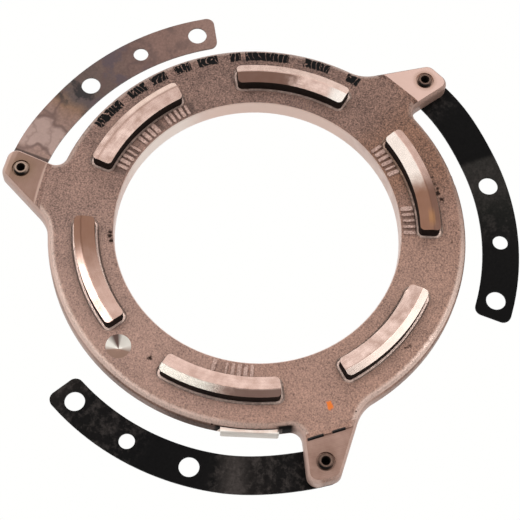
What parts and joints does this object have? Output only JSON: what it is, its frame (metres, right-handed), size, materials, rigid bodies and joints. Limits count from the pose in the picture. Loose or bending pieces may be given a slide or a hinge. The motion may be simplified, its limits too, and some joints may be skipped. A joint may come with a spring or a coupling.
{
  "type": "clutch pressure plate",
  "caption": "Cast ring that clamps a clutch disc, with spring fulcrum lands and tangential leaf straps riveted to its lugs for bolting to the cover.",
  "frame": {"origin": "centre of the bore on the friction face", "axes": "+Z from the friction face to the diaphragm-spring side, +Y through the first lug; straps run clockwise from their lugs seen from +Z"},
  "size_m": [0.2441, 0.258, 0.0196],
  "materials": {
    "cast_iron": "as-cast skin with machined lands, pads, bore and friction face",
    "strap_bare": "bare spring steel with oil and heat stains",
    "strap_blued": "dark blued spring steel with an oil film",
    "rivet_steel": "cold-formed plain steel"
  },
  "bodies": {
    "plate": {"pressure_ring": "cast_iron", "rivet_a": "rivet_steel", "rivet_b": "rivet_steel", "rivet_c": "rivet_steel"},
    "strap_a": {"strap_a_upper_leaf": "strap_bare", "strap_a_lower_leaf": "strap_bare"},
    "strap_b": {"strap_b_upper_leaf": "strap_blued", "strap_b_lower_leaf": "strap_blued"},
    "strap_c": {"strap_c_upper_leaf": "strap_blued", "strap_c_lower_leaf": "strap_blued"}
  },
  "joints": [
    {"name": "strap_a_lift", "type": "slide", "parent": "plate", "child": "strap_a", "axis": [0, 0, 1], "range_m": [-0.001, 0.004], "stiffness_N_per_m": 7500, "deforming": ["strap_a_upper_leaf", "strap_a_lower_leaf"]},
    {"name": "strap_b_lift", "type": "slide", "parent": "plate", "child": "strap_b", "axis": [0, 0, 1], "range_m": [-0.001, 0.004], "stiffness_N_per_m": 7500, "deforming": ["strap_b_upper_leaf", "strap_b_lower_leaf"]},
    {"name": "strap_c_lift", "type": "slide", "parent": "plate", "child": "strap_c", "axis": [0, 0, 1], "range_m": [-0.001, 0.004], "stiffness_N_per_m": 7500, "deforming": ["strap_c_upper_leaf", "strap_c_lower_leaf"]}
  ]
}
